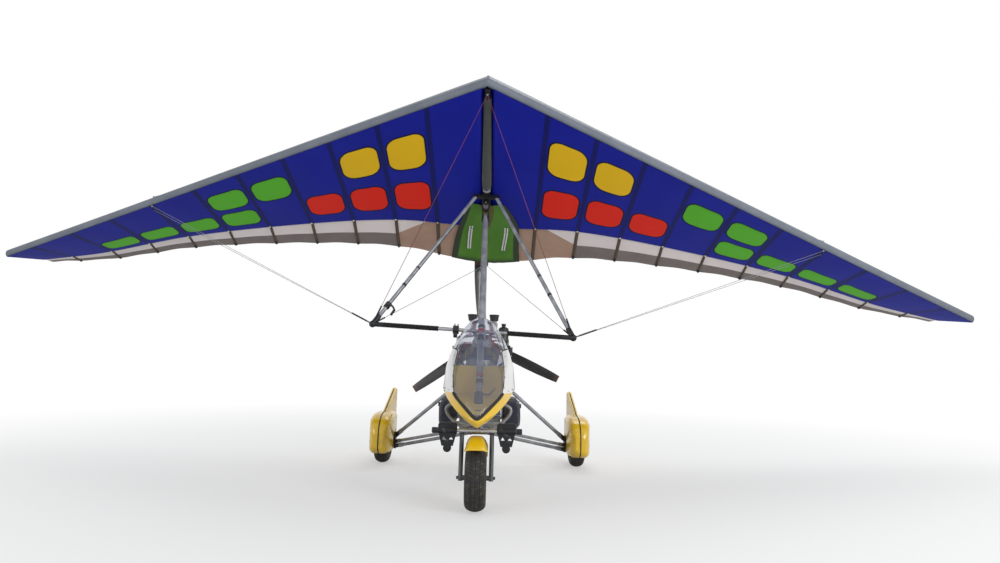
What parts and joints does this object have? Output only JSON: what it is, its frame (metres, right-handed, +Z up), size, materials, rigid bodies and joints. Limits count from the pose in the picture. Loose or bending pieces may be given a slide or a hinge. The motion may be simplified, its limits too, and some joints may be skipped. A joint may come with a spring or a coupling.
{
  "type": "flex-wing microlight trike",
  "caption": "Two-seat flex-wing microlight trike on three wheels, with a swept fabric wing on a hang bolt, a rear propeller and a steered nose wheel.",
  "frame": {"origin": "on the ground in the middle of the overall length and span", "axes": "+X to the right seen from the front, +Y aft along the trike, +Z up"},
  "size_m": [9.9857, 3.4302, 3.3829],
  "materials": {
    "frame_grey": "satin",
    "alloy": "satin",
    "black_metal": "satin",
    "steel": "brushed",
    "yellow_shell": "gloss",
    "white_shell": "gloss",
    "screen": "clear",
    "panel": "satin",
    "seat_cloth": "woven",
    "bag_cloth": "woven",
    "tank": "satin",
    "tyre": "matte",
    "rim": "satin",
    "black_plastic": "matte",
    "cast_alloy": "cast",
    "exhaust": "heat stained",
    "rubber": "matte",
    "blade": "satin",
    "sail": "sailcloth"
  },
  "bodies": {
    "trike": {"base_beam": "frame_grey", "mast": "frame_grey", "mast_foot_bolt": "steel", "front_strut": "frame_grey", "strut_socket": "black_metal", "mast_head": "black_metal", "hub_carriers": "black_metal", "axle_arms": "frame_grey", "drag_arms": "frame_grey", "gear_legs": "frame_grey", "pod_lower": "yellow_shell", "pod_sides": "white_shell", "windscreen": "screen", "binnacle": "panel", "pod_stays": "frame_grey", "front_seat": "seat_cloth", "rear_seat": "seat_cloth", "fuel_tank": "tank", "seat_rails": "frame_grey", "panniers": "bag_cloth", "crankcase": "cast_alloy", "cylinders": "black_metal", "gearbox": "cast_alloy", "engine_mount": "frame_grey", "carburettors": "cast_alloy", "air_filters": "black_plastic", "exhaust": "exhaust", "radiator": "black_metal", "spat_left": "yellow_shell", "spat_right": "yellow_shell"},
    "steering": {"fork": "frame_grey", "front_mudguard": "yellow_shell", "foot_bar": "alloy", "pedals": "black_metal"},
    "front_wheel": {"front_tyre": "tyre", "front_rim": "rim"},
    "rear_wheel_left": {"rear_left_tyre": "tyre", "rear_left_rim": "rim"},
    "rear_wheel_right": {"rear_right_tyre": "tyre", "rear_right_rim": "rim"},
    "propeller": {"prop_hub": "alloy", "prop_blades": "blade"},
    "hang_block": {"hang_block": "alloy"},
    "wing": {"sail_left": "sail", "sail_right": "sail", "keel_tube": "black_metal", "keel_bracket": "black_metal", "uprights": "frame_grey", "base_bar": "alloy", "corner_fittings": "black_metal", "kingpost": "frame_grey", "stay_tangs": "steel", "lower_stays": "steel", "upper_stays": "steel"}
  },
  "joints": [
    {"name": "steer", "type": "hinge", "parent": "trike", "child": "steering", "pos_m": [0, -1.453, 0.21], "axis": [0, 0.2672, 0.9636], "range_deg": [-30, 30]},
    {"name": "front_wheel_spin", "type": "hinge", "parent": "steering", "child": "front_wheel", "pos_m": [0, -1.469, 0.21], "axis": [1, 0, 0], "continuous": true},
    {"name": "rear_wheel_left_spin", "type": "hinge", "parent": "trike", "child": "rear_wheel_left", "pos_m": [-0.897, 0.398, 0.21], "axis": [1, 0, 0], "continuous": true},
    {"name": "rear_wheel_right_spin", "type": "hinge", "parent": "trike", "child": "rear_wheel_right", "pos_m": [0.897, 0.398, 0.21], "axis": [1, 0, 0], "continuous": true},
    {"name": "propeller_spin", "type": "hinge", "parent": "trike", "child": "propeller", "pos_m": [0, 0.998, 1.135], "axis": [0, 1, 0], "continuous": true},
    {"name": "wing_pitch", "type": "hinge", "parent": "trike", "child": "hang_block", "pos_m": [0, -0.075, 2.315], "axis": [1, 0, 0], "range_deg": [0, 18]},
    {"name": "wing_roll", "type": "hinge", "parent": "hang_block", "child": "wing", "pos_m": [0, -0.0588, 2.34603], "axis": [0, 0.8864, -0.4628], "range_deg": [-22.89, 17.11]}
  ]
}
